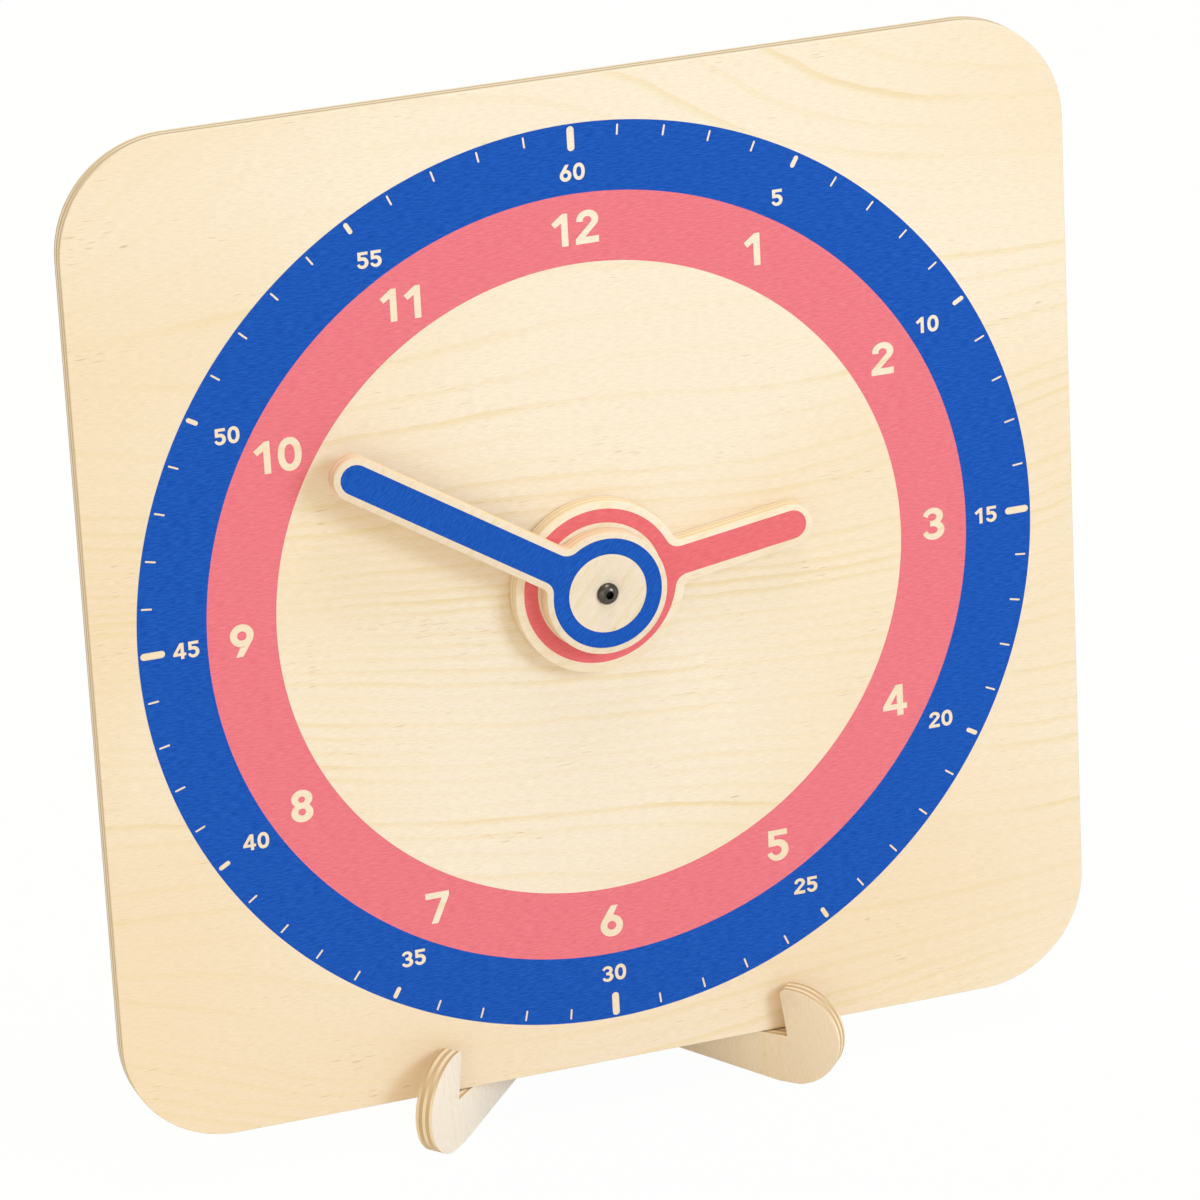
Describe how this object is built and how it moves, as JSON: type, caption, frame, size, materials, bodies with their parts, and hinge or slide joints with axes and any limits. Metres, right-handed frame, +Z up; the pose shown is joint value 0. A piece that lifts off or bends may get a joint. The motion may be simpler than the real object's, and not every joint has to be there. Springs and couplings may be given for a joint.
{
  "type": "geared teaching clock",
  "caption": "Free-standing plywood teaching clock: square dial leaning in a crossed stand, with a long and a short hand geared 12 to 1 by an open wooden train on the back.",
  "frame": {"origin": "on the table, below the middle of the whole clock", "axes": "+X to the right of the dial, -Y the way the dial faces, +Z up"},
  "size_m": [0.35, 0.1185, 0.3673],
  "materials": {
    "birch_plywood": "clear matt varnish",
    "beech": "plain",
    "nylon": "matt",
    "brass": "turned",
    "zinc_steel": "bright zinc",
    "black_steel": "black oxide"
  },
  "bodies": {
    "board_and_stand": {"dial_board": "birch_plywood", "gear_plate": "birch_plywood", "plate_screws": "zinc_steel", "front_bush": "nylon", "rear_bush": "nylon", "intermediate_stud": "zinc_steel", "stud_washer": "zinc_steel", "stud_nut": "zinc_steel", "stand_left": "birch_plywood", "stand_right": "birch_plywood"},
    "minute_set": {"minute_hand": "birch_plywood", "hand_screw": "black_steel", "minute_arbor": "zinc_steel", "minute_pinion": "birch_plywood", "pinion_washer": "zinc_steel", "pinion_screw": "black_steel"},
    "hour_set": {"hour_hand": "birch_plywood", "hour_tube": "brass", "hour_wheel": "birch_plywood"},
    "intermediate_set": {"intermediate_wheel": "birch_plywood", "intermediate_pinion": "birch_plywood", "intermediate_bush": "brass", "wheel_dowels": "beech"}
  },
  "joints": [
    {"name": "minute_turn", "type": "hinge", "parent": "board_and_stand", "child": "minute_set", "pos_m": [0, -0.0256, 0.193], "axis": [0, -0.9962, 0.0872], "continuous": true},
    {"name": "hour_turn", "type": "hinge", "parent": "board_and_stand", "child": "hour_set", "pos_m": [0, -0.0256, 0.193], "axis": [0, -0.9962, 0.0872], "continuous": true},
    {"name": "intermediate_turn", "type": "hinge", "parent": "board_and_stand", "child": "intermediate_set", "pos_m": [0, -0.00742, 0.25164], "axis": [0, -0.9962, 0.0872], "continuous": true}
  ],
  "couplings": [
    {"joint": "intermediate_turn", "follows": "minute_turn", "ratio": -0.33333},
    {"joint": "hour_turn", "follows": "minute_turn", "ratio": 0.083333}
  ]
}
